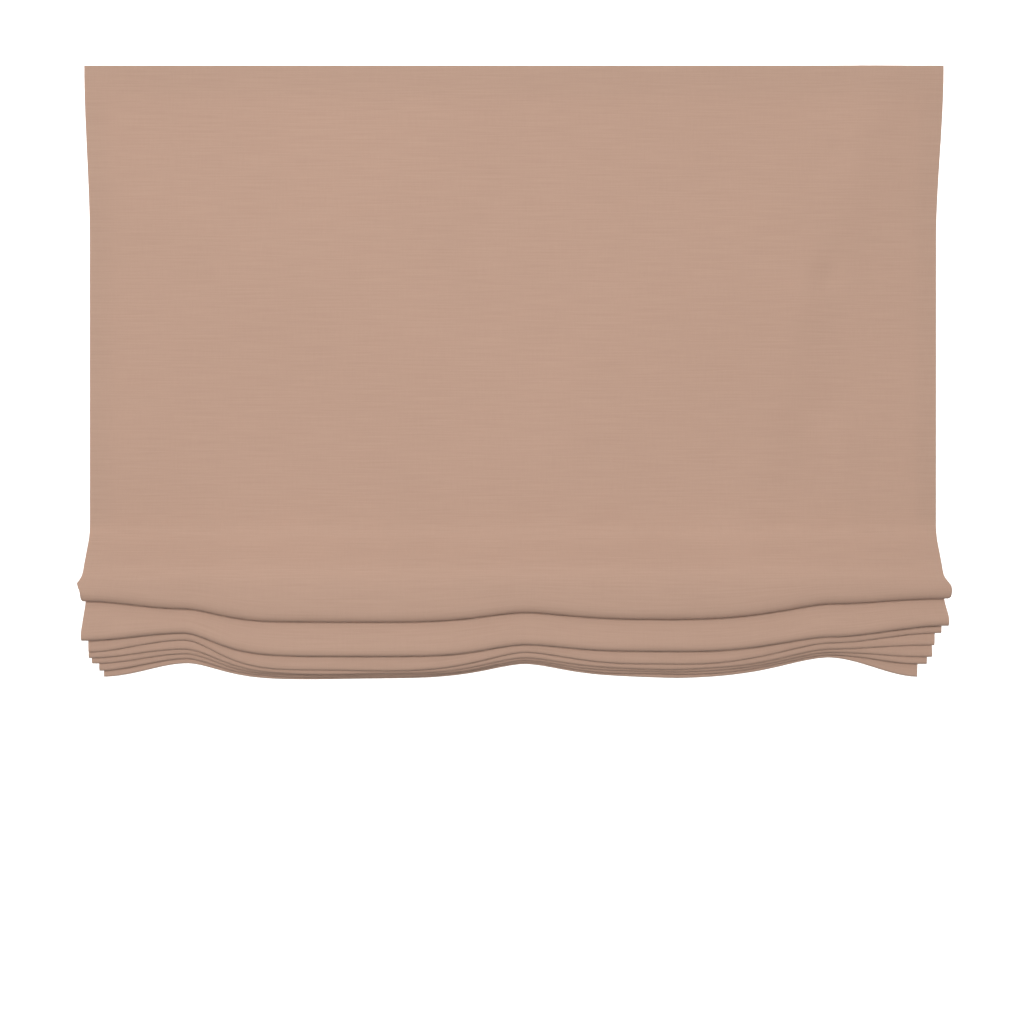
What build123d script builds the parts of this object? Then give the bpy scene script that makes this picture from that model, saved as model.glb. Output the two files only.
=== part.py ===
from build123d import *
import math
import os

# A soft roman blind, part raised. X runs along its width, -Y faces the room, Z is up.
# The origin lies on the wall, half way between the two wall screws. All sizes are in millimetres.

# Cloth
CLOTH_WIDTH = 1200.0
CLOTH_THICK = 0.6
TOP_TO_ROW = 120.0  # cloth edge to the first row of rings
ROW_SPACING = 175.0
HANGING_ROWS = 4  # rows of rings on the flat part of the cloth
STACKED_ROWS = 6  # rows of rings drawn up together in the stack
TAIL_DROP = 85.0  # last row of rings to the finished bottom edge
STACK_PITCH = 7.0  # height that each drawn-up row takes in the stack
TOP_FOLD_DROP = 36.0  # bottom of the half-formed top fold below the first drawn-up row
LEAN_START = 8.0  # the cloth leans forwards from this far below the last hanging row
LEAN_RADIUS = 40.0
TOP_LEAF_DROP = 20.0  # straight part of the top fold's front leaf, under the part that leans out
FOLD_PITCH = 5.5  # depth that each fold takes
FOLD_WIDTH = 3.5  # between the front and back leaves of one fold
PINCH_RADIUS = 0.9  # half the space between the two leaves that meet at a row of rings
CORNER_SHARE = 0.85  # of the largest corner that a pinch or a fold has room for
HEM_TURN = 3.2  # radius of the pocket at the bottom edge
HEM_RETURN = 24.0  # height of the turned-up hem
SEAM_RUN = 3.0  # the two stretches of cloth meet this far in front of a pinch

# Headrail, an aluminium extrusion, and the tape that holds the cloth to it
RAIL_DEPTH = 30.0
RAIL_TOP = 10.0
RAIL_HEIGHT = 40.0
RAIL_WALL = 1.4
RAIL_BACK_GAP = 4.0  # from the wall to the back of the headrail
CHANNEL_DEPTH = 3.6  # of the channel along the top that the brackets hook into
CHANNEL_SLOT = 14.0
CORD_SPACE = 1.1  # from a cord to the lips of the slot along the bottom
TAPE_THICK = 1.0
TAPE_HEIGHT = 22.0
HOOK_TAPE_INSET = 9.0  # from the cloth's side edges to the ends of each tape
LOOP_TAPE_INSET = 6.0
CLOTH_ABOVE_RAIL = 2.5
CAP_THICK = 3.0
CAP_PLUG = 20.0
SIDE_INSET = 2.0  # each end of the headrail stops this far inside the cloth's edge
PLUG_CLEAR = 0.2

# Cords, rings and drums
CORD_INSET_LEFT = 145.0  # from the cloth's side edges
CORD_INSET_RIGHT = 162.0
CORD_OFF_CENTRE = 15.0
CORD_RADIUS = 0.7
RING_WIRE = 1.0
RING_GAP = 0.2
RING_OFF_CORD = 1.0  # the rings' middle lies this far in front of the cords
SHAFT_FLATS = 6.0
SHAFT_SHORT = 1.0  # the shaft stops this far short of the wheel's chamber
SHAFT_DROP = 22.5  # from the top of the headrail to the middle of the shaft
HEX_CLEAR = 0.1
RUN_CLEAR = 0.05
DRUM_RADIUS = 8.5
DRUM_LENGTH = 45.0
DRUM_RIM = 3.0  # height of the flanges above the drum
DRUM_FLANGE_THICK = 1.5
JOURNAL_RADIUS = 5.0
JOURNAL_LENGTH = 3.2
WOUND_LENGTH = 27.0
CRADLE_WALL = 2.5
CRADLE_BASE = 1.5
CRADLE_FRAME = 4.0  # from the cradle's end walls to the window in its base
CORD_SLOT_WIDTH = 4.0
STOP_LAP = 0.2  # the stop is this much wider than the middle of the ring's wire
STOP_HEIGHT = 7.0
STOP_EDGE = 1.2
STOP_BORE = 0.9
KNOT_RADIUS = 1.6
WEIGHT_RADIUS = 2.5
WEIGHT_INSET = 12.0
MOVE_GAP = 0.3
CUT = 1.0  # how far a cut runs past the face that it opens

# Chain control at the right-hand end
HOUSING_LENGTH = 27.0
HOUSING_WALL = 1.8
HOUSING_BULKHEAD = 5.0
HUB_RADIUS = 7.0
HUB_FLANGE = 9.5
HUB_FLANGE_THICK = 3.0
WHEEL_PITCH_RADIUS = 9.55
WHEEL_POCKETS = 10
WHEEL_RIM = 10.6
WHEEL_WIDTH = 8.0
BEAD_POCKET = 2.35
CHAIN_SLOT_LENGTH = 8.0
CHAIN_SLOT_DEPTH = 7.0
SKIRT_OUTER = 9.0
SKIRT_INNER = 7.3
SKIRT_LENGTH = 6.0
SPINDLE_RADIUS = 4.0
SPRING_SEAT_RADIUS = 6.0
SPRING_WIRE = 0.4
SPRING_PITCH = 0.86
SPRING_TURNS = 6
DOG_COUNT = 3
DOG_HALF_WIDTH = 1.2
DOG_ROOT = 1.0  # from the spindle to the dogs
DOG_TIP = 1.0  # from the dogs to the rim of the hub's flange
DOG_FLOOR = 1.0  # of the hub's flange left under the dogs' slots
BOSS_RADIUS = 2.6
BOSS_SINK = 0.6  # how far each screw boss sinks into the housing's walls
SCREW_RADIUS = 1.0
SCREW_HEAD = 2.4
SCREW_HEAD_THICK = 1.4
SCREW_CROSS = 0.3  # half the width of the cross in the head
SCREW_LENGTH = 12.0

# Brackets, pressed steel, each with a swivel lever that locks the headrail
BRACKET_INSET = 200.0  # from each side edge of the cloth to the middle of a bracket
BRACKET_WIDTH = 26.0
BRACKET_THICK = 1.5
BRACKET_DROP = 14.0
BRACKET_CORNER = 0.6
SCREW_HOLE = 2.5
CEILING_HOLE_BACK = 6.5
LEVER_GAP = 0.5
LEVER_RADIUS = 3.5
LEVER_REACH = 7.5
LEVER_HANDLE = 18.0
LEVER_PLATE = 1.5
RIVET_RADIUS = 1.5
RIVET_HEAD = 2.6
RIVET_HEAD_THICK = 0.8
HOOK_TOE = 3.0

# Places that follow from the sizes above
rail_back = -RAIL_BACK_GAP
rail_front = rail_back - RAIL_DEPTH
rail_bottom = RAIL_TOP - RAIL_HEIGHT
rail_left = -CLOTH_WIDTH / 2 + SIDE_INSET + CAP_THICK
housing_right = CLOTH_WIDTH / 2 - SIDE_INSET - CAP_THICK
rail_right = housing_right - HOUSING_LENGTH
channel_top = RAIL_TOP - RAIL_WALL
channel_floor = channel_top - CHANNEL_DEPTH
cavity_top = channel_floor - RAIL_WALL
cavity_bottom = rail_bottom + RAIL_WALL
cavity_front = rail_front + RAIL_WALL
cavity_back = rail_back - RAIL_WALL
axis_y = (rail_back + rail_front) / 2
axis_z = RAIL_TOP - SHAFT_DROP
cloth_back = rail_front - 2 * TAPE_THICK
cloth_mid = cloth_back - CLOTH_THICK / 2
cloth_top = RAIL_TOP + CLOTH_ABOVE_RAIL
wind_radius = DRUM_RADIUS + CORD_RADIUS
cord_y = axis_y - wind_radius
bottom_slot = 2 * (wind_radius + CORD_RADIUS + CORD_SPACE)
ring_y = cord_y - RING_OFF_CORD
ring_radius = ring_y - cloth_back - RING_GAP - RING_WIRE
stop_radius = ring_radius + STOP_LAP
cord_places = {
    "left": -CLOTH_WIDTH / 2 + CORD_INSET_LEFT,
    "centre": CORD_OFF_CENTRE,
    "right": CLOTH_WIDTH / 2 - CORD_INSET_RIGHT,
}
bracket_places = {"left": BRACKET_INSET - CLOTH_WIDTH / 2, "right": CLOTH_WIDTH / 2 - BRACKET_INSET}
hanging_z = [cloth_top - TOP_TO_ROW - ROW_SPACING * row for row in range(HANGING_ROWS)]
# The folds lie one in front of another. The rearmost is the lowest, and the top fold is in front.
fold_back_y = [cloth_mid - 2 * PINCH_RADIUS - FOLD_PITCH * i for i in range(STACKED_ROWS)]
# Leaves run at 45 degrees from each pinch. The corners of a pinch are this far apart in height.
SLANT = math.sqrt(2)
pinch_rise = SLANT * PINCH_RADIUS
# The top fold shares one row spacing between a leaning front leaf and a back leaf.
top_back_run = cloth_mid - PINCH_RADIUS - fold_back_y[-1]
top_back_leaf = (SLANT - 1) * top_back_run + pinch_rise + TOP_FOLD_DROP
leaning_length = ROW_SPACING - LEAN_START - TOP_LEAF_DROP - FOLD_WIDTH - top_back_leaf
stack_depth = cloth_mid - fold_back_y[-1] + FOLD_WIDTH
lean_top = hanging_z[-1] - LEAN_START
lean_bottom = lean_top - math.sqrt(leaning_length**2 - stack_depth**2)
top_fold_z = lean_bottom - TOP_LEAF_DROP
stacked_z = [top_fold_z + TOP_FOLD_DROP - STACK_PITCH * row for row in range(STACKED_ROWS)]
hem_z = stacked_z[-1] - TAIL_DROP


def block(x, y, z):
    """A box from its (low, high) spans along X, Y and Z."""
    spans = [sorted(span) for span in (x, y, z)]
    middle = [(low + high) / 2 for low, high in spans]
    size = [high - low for low, high in spans]
    return Pos(*middle) * Box(*size)


def rod_x(radius, start, end, y=axis_y, z=axis_z):
    """A round bar along X, on the shaft's axis unless told otherwise."""
    return Pos((start + end) / 2, y, z) * Rot(0, 90, 0) * Cylinder(radius, abs(end - start))


def rod_z(radius, x, y, low, high):
    return Pos(x, y, (low + high) / 2) * Cylinder(radius, high - low)


def hex_x(flats, start, end):
    """A hexagonal bar along X on the shaft's axis."""
    section = Plane.YZ * Pos(axis_y, axis_z) * RegularPolygon(flats / 2, 6, major_radius=False)
    return Pos(start, 0, 0) * extrude(section, end - start)


def cloth_strip(route):
    """Cloth along (y, z, corner radius) points of its section, across the whole width."""
    points = [(y, z) for y, z, _ in route]
    radii = [radius for _, _, radius in route[1:-1]]
    section = Plane.YZ * trace(FilletPolyline(*points, radius=radii), line_width=CLOTH_THICK)
    return Pos(-CLOTH_WIDTH / 2, 0, 0) * extrude(section, CLOTH_WIDTH)


def pinch_corners(z):
    """Front and back corners of the pinch that a row of rings holds at a height."""
    front_y = cloth_mid - PINCH_RADIUS
    radius = CORNER_SHARE * PINCH_RADIUS
    return [(front_y, z + pinch_rise, radius), (front_y + pinch_rise, z, radius)]


def fold_corners(back_leaf, bottom, upper_z, lower_z):
    """Corners of one hanging fold, between the pinches of two rows of rings."""
    front_leaf = back_leaf - FOLD_WIDTH
    turn = CORNER_SHARE * FOLD_WIDTH / 2
    upper_y, upper_z, _ = pinch_corners(upper_z)[1]
    lower_y, lower_z, _ = pinch_corners(lower_z)[0]
    return [
        (front_leaf, upper_z - (upper_y - front_leaf), FOLD_WIDTH),
        (front_leaf, bottom, turn),
        (back_leaf, bottom, turn),
        (back_leaf, lower_z - (lower_y - back_leaf), PINCH_RADIUS),
    ]


def fold_bottom(back_leaf, upper_z, lower_z):
    """Height at which a fold that holds one row spacing of cloth turns."""
    front, _, _, back = fold_corners(back_leaf, 0, upper_z, lower_z)
    slants = SLANT * (upper_z - front[1] + lower_z + pinch_rise - back[1])
    turns = FOLD_WIDTH + 2 * PINCH_RADIUS
    return (front[1] + back[1] + slants + turns - ROW_SPACING) / 2


def seam_point(forward):
    """A point of the slanting leaf that far in front of the first drawn-up row's pinch."""
    y, z, _ = pinch_corners(stacked_z[0])[0]
    return (y - forward, z - forward, 0)


def make_fabric_panel():
    """The flat part of the cloth and the half-formed top fold, as far as the first drawn-up row."""
    hanging, *fold = fold_corners(fold_back_y[-1], top_fold_z, stacked_z[0], stacked_z[0])
    return cloth_strip(
        [
            (cloth_mid, cloth_top, 0),
            (cloth_mid, lean_top, LEAN_RADIUS),
            (hanging[0], lean_bottom, LEAN_RADIUS),
            *fold,
            seam_point(SEAM_RUN + MOVE_GAP),
        ]
    )


def make_fabric_folds():
    """The full folds, from the first drawn-up row of rings to the hem with its weight pocket."""
    route = [seam_point(SEAM_RUN), *pinch_corners(stacked_z[0])]
    rearmost_last = reversed(fold_back_y[:-1])
    for back_leaf, upper, lower in zip(rearmost_last, stacked_z, stacked_z[1:]):
        bottom = fold_bottom(back_leaf, upper, lower)
        route += fold_corners(back_leaf, bottom, upper, lower) + pinch_corners(lower)
    tail_top = stacked_z[-1] + pinch_rise - PINCH_RADIUS
    hem_back = cloth_mid + 2 * HEM_TURN
    hem_leaf = cloth_mid + 2 * CLOTH_THICK
    turn = CORNER_SHARE * HEM_TURN
    route[-1] = (cloth_mid, tail_top, CORNER_SHARE * PINCH_RADIUS)
    route += [
        (cloth_mid, hem_z, turn),
        (hem_back, hem_z, turn),
        (hem_back, hem_z + 2 * HEM_TURN, HEM_TURN),
        (hem_leaf, hem_z + 4 * HEM_TURN, HEM_TURN),
        (hem_leaf, hem_z + HEM_RETURN, 0),
    ]
    return cloth_strip(route)


def make_bottom_weight():
    """The weighted cord that lies in the hem's pocket."""
    reach = CLOTH_WIDTH / 2 - WEIGHT_INSET
    return rod_x(WEIGHT_RADIUS, -reach, reach, cloth_mid + HEM_TURN, hem_z + HEM_TURN)


def make_ring_row(z):
    """One row of rings, one for each cord."""
    return Compound([Pos(x, ring_y, z) * Torus(ring_radius, RING_WIRE) for x in cord_places.values()])


def stop_top():
    return stacked_z[-1] - RING_WIRE - MOVE_GAP


def make_lift_cord(x):
    """A cord from its drum down through its rings, to a knot under its stop."""
    clear = DRUM_RADIUS + 3 * CORD_RADIUS + MOVE_GAP
    top = axis_z - math.sqrt(clear**2 - wind_radius**2)
    knot_z = stop_top() - STOP_HEIGHT - MOVE_GAP - KNOT_RADIUS
    return rod_z(CORD_RADIUS, x, cord_y, knot_z, top) + Pos(x, cord_y, knot_z) * Sphere(KNOT_RADIUS)


def make_cord_stop(x):
    """The round stop under the last ring, which the knot pulls on."""
    top = stop_top()
    body = rod_z(stop_radius, x, cord_y, top - STOP_HEIGHT, top)
    body = fillet(body.edges().filter_by(GeomType.CIRCLE), STOP_EDGE)
    return body - rod_z(STOP_BORE, x, cord_y, top - STOP_HEIGHT - CUT, top + CUT)


def make_drum(x):
    """A flanged drum with a hexagonal bore and a journal at each end."""
    half = DRUM_LENGTH / 2
    outer = half + DRUM_FLANGE_THICK
    body = rod_x(DRUM_RADIUS, x - half, x + half)
    for side in (-1, 1):
        body += rod_x(DRUM_RADIUS + DRUM_RIM, x + side * half, x + side * outer)
        body += rod_x(JOURNAL_RADIUS, x + side * outer, x + side * (outer + JOURNAL_LENGTH))
    return body - hex_x(SHAFT_FLATS + HEX_CLEAR, x - 2 * half, x + 2 * half)


def make_winding(x):
    """The turns of cord on a drum, as one sleeve."""
    end = x - DRUM_LENGTH / 2 + MOVE_GAP
    outer = rod_x(DRUM_RADIUS + 2 * CORD_RADIUS, end, end + WOUND_LENGTH)
    return outer - rod_x(DRUM_RADIUS + RUN_CLEAR, end - CUT, end + WOUND_LENGTH + CUT)


def make_cradle(x):
    """The moulded cradle that carries a drum and stands on the headrail's bottom lips."""
    inner = DRUM_LENGTH / 2 + DRUM_FLANGE_THICK + MOVE_GAP
    outer = inner + CRADLE_WALL
    width = (cavity_front + PLUG_CLEAR, cavity_back - PLUG_CLEAR)
    base_top = cavity_bottom + CRADLE_BASE
    body = block((x - outer, x + outer), width, (cavity_bottom, base_top))
    wall_top = axis_z + JOURNAL_RADIUS + CRADLE_WALL
    for side in (-1, 1):
        wall = block((x + side * inner, x + side * outer), width, (base_top, wall_top))
        body += wall - rod_x(JOURNAL_RADIUS + RUN_CLEAR, x - 2 * outer, x + 2 * outer)
    tongue = (rail_front + (RAIL_DEPTH - bottom_slot) / 2 + PLUG_CLEAR,
              rail_back - (RAIL_DEPTH - bottom_slot) / 2 - PLUG_CLEAR)
    body += block((x - inner, x + inner), tongue, (rail_bottom, cavity_bottom))
    slot_height = RAIL_WALL + CRADLE_BASE + 2 * CUT
    slot = Pos(x, cord_y, rail_bottom - CUT) * extrude(
        SlotOverall(DRUM_LENGTH, CORD_SLOT_WIDTH), slot_height)
    window = block((x - inner + CRADLE_FRAME, x + inner - CRADLE_FRAME),
                   (cord_y + CORD_SLOT_WIDTH / 2 + CRADLE_WALL, tongue[1] - CRADLE_WALL),
                   (rail_bottom - CUT, base_top + CUT))
    return body - slot - window


def rail_section():
    """The extrusion's section: a box, open along the bottom, with a lipped channel along the top."""
    def area(y, z):
        return Pos((y[0] + y[1]) / 2, (z[0] + z[1]) / 2) * Rectangle(abs(y[1] - y[0]), z[1] - z[0])

    def slot(width, z):
        return area((axis_y - width / 2, axis_y + width / 2), z)

    section = area((rail_front, rail_back), (rail_bottom, RAIL_TOP))
    section = fillet(section.vertices(), RAIL_WALL / 2)
    section -= area((cavity_front, cavity_back), (cavity_bottom, cavity_top))
    section -= area((cavity_front, cavity_back), (channel_floor, channel_top))
    section -= slot(CHANNEL_SLOT, (channel_floor, RAIL_TOP + CUT))
    section -= slot(bottom_slot, (rail_bottom - CUT, cavity_bottom + CUT))
    return Plane.YZ * section


def make_headrail():
    return Pos(rail_left, 0, 0) * extrude(rail_section(), rail_right - rail_left)


def end_block(start, end):
    """A block of the headrail's outside section, with soft edges, for the parts at its ends."""
    body = block((start, end), (rail_front, rail_back), (rail_bottom, RAIL_TOP))
    return fillet(body.edges().filter_by(Axis.X), RAIL_WALL)


def rail_plug(start, end):
    """The part of an end fitting that pushes into the headrail's lower cavity."""
    return block((start, end), (cavity_front + PLUG_CLEAR, cavity_back - PLUG_CLEAR),
                 (cavity_bottom + PLUG_CLEAR, cavity_top - PLUG_CLEAR))


def make_end_cap():
    """The left end cap, with a bore for the shaft's bush."""
    body = end_block(rail_left - CAP_THICK, rail_left) + rail_plug(rail_left, rail_left + CAP_PLUG)
    bore = rod_x(bush_radius() + RUN_CLEAR, rail_left + RAIL_WALL, rail_left + CAP_PLUG + CUT)
    return body - bore


def bush_radius():
    return SHAFT_FLATS


def make_shaft_bush():
    start = rail_left + RAIL_WALL + MOVE_GAP
    body = rod_x(bush_radius(), start, rail_left + CAP_PLUG - MOVE_GAP)
    return body - hex_x(SHAFT_FLATS + HEX_CLEAR, start - CUT, rail_left + CAP_PLUG + CUT)


def shaft_right():
    return chamber_left() - SHAFT_SHORT


def make_drive_shaft():
    return hex_x(SHAFT_FLATS, rail_left + 2 * RAIL_WALL, shaft_right())


def chamber_left():
    return rail_right + HOUSING_BULKHEAD


def wheel_left():
    return chamber_left() + MOVE_GAP + HUB_FLANGE_THICK + MOVE_GAP


def spring_seat_left():
    return wheel_left() + WHEEL_WIDTH + MOVE_GAP


def boss_places():
    inset = HOUSING_WALL + BOSS_RADIUS - BOSS_SINK
    z = RAIL_TOP - inset
    return [(rail_front + inset, z), (rail_back - inset, z)]


def make_control_housing():
    """The shell of the chain control: a plug into the headrail, a bulkhead and the wheel's chamber."""
    body = end_block(rail_right, housing_right) + rail_plug(rail_right - CAP_PLUG, rail_right)
    body -= block((chamber_left(), housing_right + CUT),
                  (rail_front + HOUSING_WALL, rail_back - HOUSING_WALL),
                  (rail_bottom + HOUSING_WALL, RAIL_TOP - HOUSING_WALL))
    for y, z in boss_places():
        body += rod_x(BOSS_RADIUS, chamber_left() - CUT, housing_right, y, z)
        body -= rod_x(SCREW_RADIUS + RUN_CLEAR, housing_right - SCREW_LENGTH, housing_right + CUT, y, z)
    body -= rod_x(HUB_RADIUS + RUN_CLEAR, rail_right - CAP_PLUG - CUT, chamber_left() + CUT)
    wheel_mid = wheel_left() + WHEEL_WIDTH / 2
    for side in (-1, 1):
        y = axis_y + side * WHEEL_PITCH_RADIUS
        body -= block((wheel_mid - CHAIN_SLOT_LENGTH / 2, wheel_mid + CHAIN_SLOT_LENGTH / 2),
                      (y - CHAIN_SLOT_DEPTH / 2, y + CHAIN_SLOT_DEPTH / 2),
                      (rail_bottom - CUT, rail_bottom + HOUSING_WALL + CUT))
    return body


def make_control_cover():
    """The outer cover, with the fixed spindle that carries the wheel and the brake spring."""
    cover_face = housing_right + CAP_THICK
    body = end_block(housing_right, cover_face)
    body += rod_x(SPRING_SEAT_RADIUS, spring_seat_left(), housing_right)
    body += rod_x(SPINDLE_RADIUS, wheel_left() + MOVE_GAP, housing_right)
    for y, z in boss_places():
        body -= rod_x(SCREW_RADIUS + PLUG_CLEAR, housing_right - CUT, cover_face + CUT, y, z)
        body -= rod_x(SCREW_HEAD + PLUG_CLEAR, cover_face - SCREW_HEAD_THICK, cover_face + CUT, y, z)
    return body


def make_control_screws():
    """The two screws that hold the cover to the housing."""
    face = housing_right + CAP_THICK - SCREW_HEAD_THICK
    head_top = face + SCREW_HEAD_THICK
    arm = SCREW_HEAD - SCREW_CROSS
    screws = []
    for y, z in boss_places():
        screw = rod_x(SCREW_RADIUS, face - SCREW_LENGTH + CAP_THICK, face, y, z)
        screw += rod_x(SCREW_HEAD, face, head_top, y, z)
        for reach_y, reach_z in ((arm, SCREW_CROSS), (SCREW_CROSS, arm)):
            screw -= block((face + SCREW_HEAD_THICK / 2, head_top + CUT),
                           (y - reach_y, y + reach_y), (z - reach_z, z + reach_z))
        screws.append(screw)
    return Compound(screws)


def make_dogs(clear):
    """The teeth by which the wheel turns the hub, or with a clearance the slots for them."""
    left = chamber_left() + MOVE_GAP + DOG_FLOOR - clear
    half = DOG_HALF_WIDTH + clear
    span = (SPINDLE_RADIUS + DOG_ROOT - clear, HUB_FLANGE - DOG_TIP + clear)
    dogs = []
    for i in range(DOG_COUNT):
        tooth = block((left, wheel_left() + CUT), (-half, half), span)
        dogs.append(Pos(0, axis_y, axis_z) * Rot(360 / DOG_COUNT * i, 0, 0) * tooth)
    return dogs


def make_clutch_hub():
    """The hub that the shaft's end sits in, driven by the wheel's dogs."""
    flange_left = chamber_left() + MOVE_GAP
    body = rod_x(HUB_RADIUS, rail_right - CAP_PLUG + MOVE_GAP, flange_left)
    body += rod_x(HUB_FLANGE, flange_left, flange_left + HUB_FLANGE_THICK)
    body -= hex_x(SHAFT_FLATS + HEX_CLEAR, rail_right - 2 * CAP_PLUG, shaft_right() + MOVE_GAP)
    for dog in make_dogs(HEX_CLEAR):
        body -= dog
    return body


def make_chain_wheel():
    """The wheel that a bead chain turns: a pocketed rim, a skirt round the brake spring, and dogs."""
    left = wheel_left()
    right = left + WHEEL_WIDTH
    body = rod_x(WHEEL_RIM, left, right)
    body += rod_x(SKIRT_OUTER, right, right + SKIRT_LENGTH)
    body -= rod_x(SKIRT_INNER, right, right + SKIRT_LENGTH + CUT)
    body -= rod_x(SPINDLE_RADIUS + RUN_CLEAR, left - CUT, right + CUT)
    for i in range(WHEEL_POCKETS):
        turn = Pos(0, axis_y, axis_z) * Rot(360 / WHEEL_POCKETS * i, 0, 0)
        body -= turn * Pos((left + right) / 2, 0, WHEEL_PITCH_RADIUS) * Sphere(BEAD_POCKET)
    for dog in make_dogs(0):
        body += dog
    return body


def make_brake_spring():
    """The wrap spring round the fixed spindle, which holds the blind where it is left."""
    radius = SPRING_SEAT_RADIUS + RUN_CLEAR + SPRING_WIRE
    height = SPRING_PITCH * SPRING_TURNS
    start = spring_seat_left() + 2 * SPRING_WIRE
    coil = Helix(SPRING_PITCH, height, radius)
    wire = sweep(Plane(origin=coil @ 0, z_dir=coil % 0) * Circle(SPRING_WIRE), path=coil)
    return Pos(start, axis_y, axis_z) * Rot(0, 90, 0) * wire


def bracket_plate_bottom():
    return RAIL_TOP + 2 * LEVER_GAP + LEVER_PLATE


def bracket_top():
    return bracket_plate_bottom() + BRACKET_THICK


def lever_y():
    return axis_y + CHANNEL_SLOT / 2 - LEVER_RADIUS - LEVER_GAP


def toe_top():
    return channel_top - PLUG_CLEAR


def toe_bottom():
    return toe_top() - LEVER_PLATE


def make_bracket(x):
    """A bracket with a hole for the wall and one for a ceiling, and a hook for the headrail's front lip."""
    half = BRACKET_WIDTH / 2
    wall_plate = block((x - half, x + half), (-BRACKET_THICK, 0), (-BRACKET_DROP, bracket_top()))
    front = axis_y - CHANNEL_SLOT / 2 + LEVER_GAP
    top_plate = block((x - half, x + half), (front - HOOK_TOE, 0),
                      (bracket_plate_bottom(), bracket_top()))
    hook_side = (x + LEVER_RADIUS + 2 * LEVER_GAP, x + half)
    hook = block(hook_side, (front, front + BRACKET_THICK), (toe_bottom(), bracket_plate_bottom()))
    toe = block(hook_side, (front - HOOK_TOE, front), (toe_bottom(), toe_top()))
    body = wall_plate + top_plate + hook + toe
    corners = body.edges().filter_by(Axis.Z).sort_by(Axis.Y)[:2]
    body = fillet(corners, BRACKET_CORNER)
    body -= Pos(x, -BRACKET_THICK / 2, 0) * Rot(90, 0, 0) * Cylinder(SCREW_HOLE, 3 * BRACKET_THICK)
    body -= rod_z(SCREW_HOLE, x, -CEILING_HOLE_BACK, toe_bottom(), bracket_top() + CUT)
    return body - rod_z(RIVET_RADIUS + RUN_CLEAR, x, lever_y(), toe_bottom(), bracket_top() + CUT)


def make_lever(x):
    """The swivel lever: a handle over the headrail and a cam under its back lip."""
    y = lever_y()
    handle_low = RAIL_TOP + LEVER_GAP
    handle_high = handle_low + LEVER_PLATE
    body = rod_z(LEVER_RADIUS, x, y, toe_bottom(), handle_high)
    body += block((x - LEVER_HANDLE + LEVER_RADIUS, x), (y - LEVER_RADIUS, y + LEVER_RADIUS),
                  (handle_low, handle_high))
    body += rod_z(LEVER_RADIUS, x - LEVER_HANDLE + LEVER_RADIUS, y, handle_low, handle_high)
    body += block((x - LEVER_RADIUS, x + LEVER_RADIUS), (y, y + LEVER_REACH), (toe_bottom(), toe_top()))
    return body - rod_z(RIVET_RADIUS + RUN_CLEAR, x, y, toe_bottom() - CUT, handle_high + CUT)


def make_rivet(x):
    """The rivet that the lever turns on, flush with the top of the bracket."""
    head_low = toe_bottom() - MOVE_GAP - RIVET_HEAD_THICK
    body = rod_z(RIVET_RADIUS, x, lever_y(), head_low, bracket_top())
    return body + rod_z(RIVET_HEAD, x, lever_y(), head_low, head_low + RIVET_HEAD_THICK)


def make_tape(back, inset):
    """One strip of hook-and-loop tape along the headrail's front face."""
    reach = CLOTH_WIDTH / 2 - inset
    return block((-reach, reach), (back - TAPE_THICK, back), (RAIL_TOP - TAPE_HEIGHT, RAIL_TOP))


def all_parts():
    """Every sub-part by its node's name."""
    parts = {
        "headrail": make_headrail(),
        "end_cap": make_end_cap(),
        "shaft_bush": make_shaft_bush(),
        "drive_shaft": make_drive_shaft(),
        "control_housing": make_control_housing(),
        "control_cover": make_control_cover(),
        "control_screws": make_control_screws(),
        "clutch_hub": make_clutch_hub(),
        "chain_wheel": make_chain_wheel(),
        "brake_spring": make_brake_spring(),
        "hook_tape": make_tape(rail_front, HOOK_TAPE_INSET),
        "loop_tape": make_tape(rail_front - TAPE_THICK, LOOP_TAPE_INSET),
        "fabric_panel": make_fabric_panel(),
        "fabric_folds": make_fabric_folds(),
        "bottom_weight": make_bottom_weight(),
    }
    for side, x in bracket_places.items():
        parts[f"bracket_{side}"] = make_bracket(x)
        parts[f"bracket_lever_{side}"] = make_lever(x)
        parts[f"lever_rivet_{side}"] = make_rivet(x)
    for place, x in cord_places.items():
        parts[f"cord_drum_{place}"] = make_drum(x)
        parts[f"cord_winding_{place}"] = make_winding(x)
        parts[f"drum_cradle_{place}"] = make_cradle(x)
        parts[f"lift_cord_{place}"] = make_lift_cord(x)
        parts[f"cord_stop_{place}"] = make_cord_stop(x)
    for row, z in enumerate(hanging_z + stacked_z, start=1):
        parts[f"ring_row_{row}"] = make_ring_row(z)
    return parts


os.makedirs("parts", exist_ok=True)
for name, part in all_parts().items():
    export_step(part, f"parts/{name}.step")
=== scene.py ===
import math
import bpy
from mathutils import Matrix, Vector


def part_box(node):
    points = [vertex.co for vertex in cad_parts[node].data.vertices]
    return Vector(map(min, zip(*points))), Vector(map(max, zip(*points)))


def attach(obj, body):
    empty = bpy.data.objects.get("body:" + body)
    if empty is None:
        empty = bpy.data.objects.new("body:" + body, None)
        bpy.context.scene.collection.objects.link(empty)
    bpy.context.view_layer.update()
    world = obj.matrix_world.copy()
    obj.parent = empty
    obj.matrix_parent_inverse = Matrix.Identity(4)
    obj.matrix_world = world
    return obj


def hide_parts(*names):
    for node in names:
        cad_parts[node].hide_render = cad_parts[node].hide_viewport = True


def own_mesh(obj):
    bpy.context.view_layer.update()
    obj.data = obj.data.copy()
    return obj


bl_info = {
    "name": "Soft Roman Blind",
    "version": (1, 0, 0),
    "blender": (4, 5, 0),
    "location": "3D View > Sidebar > Roman Blind",
    "description": "Dresses the fixed frame of a soft roman blind, drawn part-way up",
    "category": "Add Mesh",
}

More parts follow.
